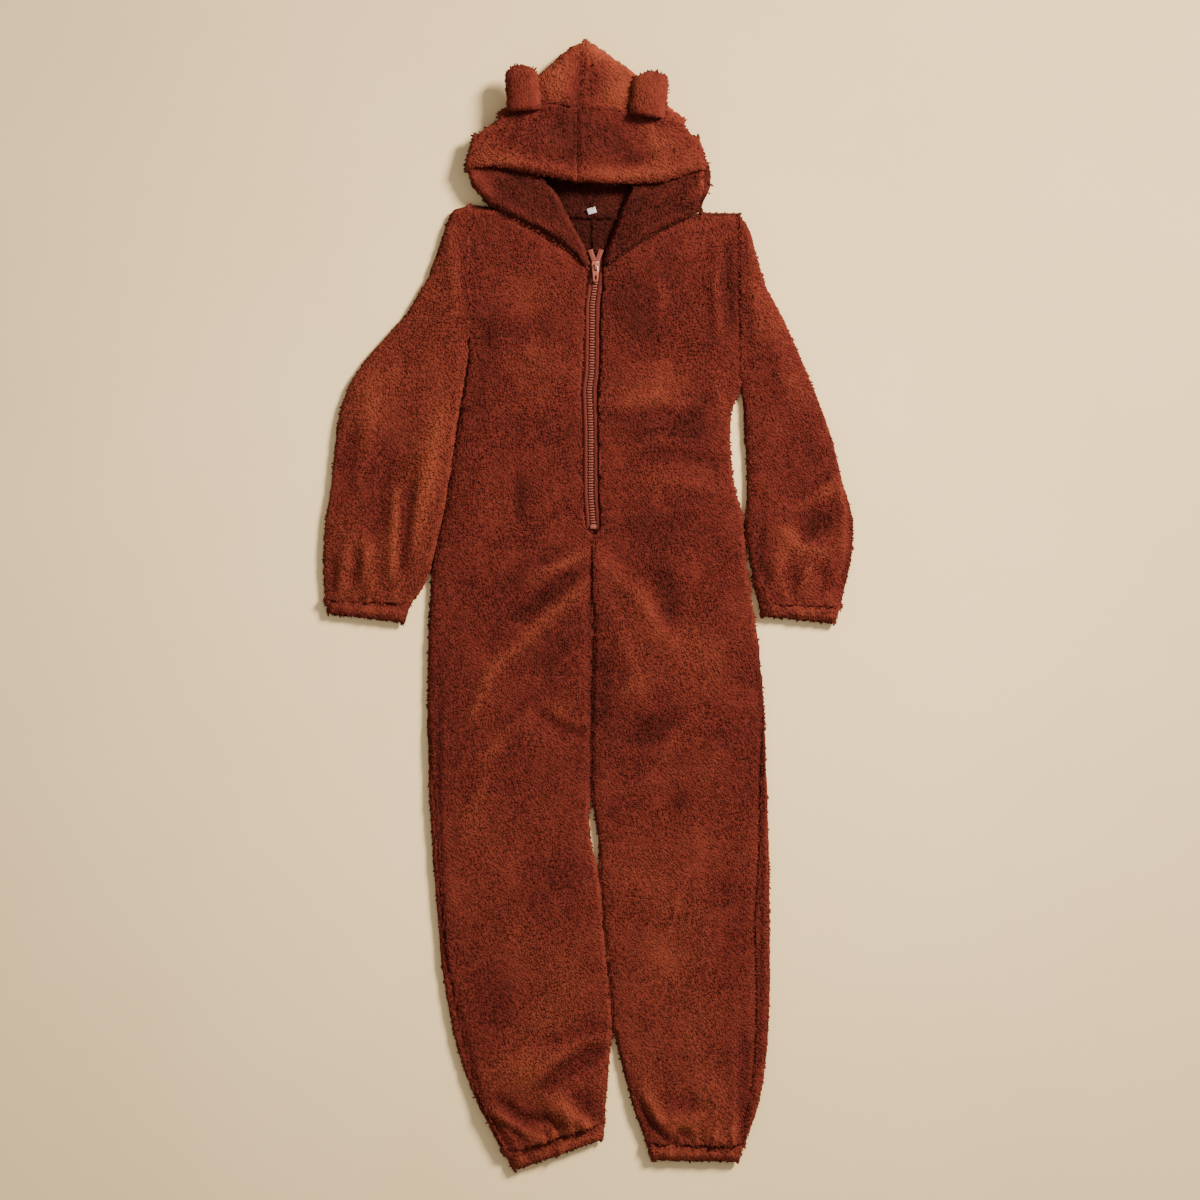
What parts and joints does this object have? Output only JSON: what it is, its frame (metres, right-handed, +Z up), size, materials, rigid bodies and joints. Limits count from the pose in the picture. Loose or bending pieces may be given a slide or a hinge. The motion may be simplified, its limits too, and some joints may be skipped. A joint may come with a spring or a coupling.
{
  "type": "hooded onesie pajama",
  "caption": "Hooded teddy-fleece onesie pajama with bear ears, front zip and gathered wrist and ankle bands, laid flat on its back.",
  "frame": {"origin": "middle of the laid garment, on the surface that it lies on", "axes": "+Y towards the hood, +Z up off the surface, +X towards the wearer's left side"},
  "size_m": [0.666, 1.417, 0.0393],
  "materials": {
    "fleece": "rust brown teddy fleece, matt pile",
    "fleece_band": "rust brown teddy fleece gathered on elastic",
    "zip_tape": "woven polyester tape",
    "zip_plastic": "moulded and lacquered, dusty rose",
    "label": "plain satin ribbon, bare"
  },
  "bodies": {
    "garment": {"front_left": "fleece", "front_right": "fleece", "hood_brow_left": "fleece", "hood_brow_right": "fleece", "hood_cheek_left": "fleece", "hood_cheek_right": "fleece", "back_left": "fleece", "back_right": "fleece", "sleeve_left": "fleece", "sleeve_right": "fleece", "hood_crown_left": "fleece", "hood_crown_right": "fleece", "ear_left": "fleece", "ear_right": "fleece", "wrist_band_left": "fleece_band", "wrist_band_right": "fleece_band", "ankle_band_left": "fleece_band", "ankle_band_right": "fleece_band", "zip_tape_left": "zip_tape", "zip_tape_right": "zip_tape", "zip_chain": "zip_plastic", "zip_chain_left": "zip_plastic", "zip_chain_right": "zip_plastic", "zip_stop": "zip_plastic", "zip_slider": "zip_plastic", "label": "label"},
    "pull_tab": {"zip_pull": "zip_plastic"}
  },
  "joints": [
    {"name": "pull_tab_swing", "type": "hinge", "parent": "garment", "child": "pull_tab", "pos_m": [0.009, 0.424, 0.0115], "axis": [-1, 0, 0], "range_deg": [0, 170]}
  ]
}
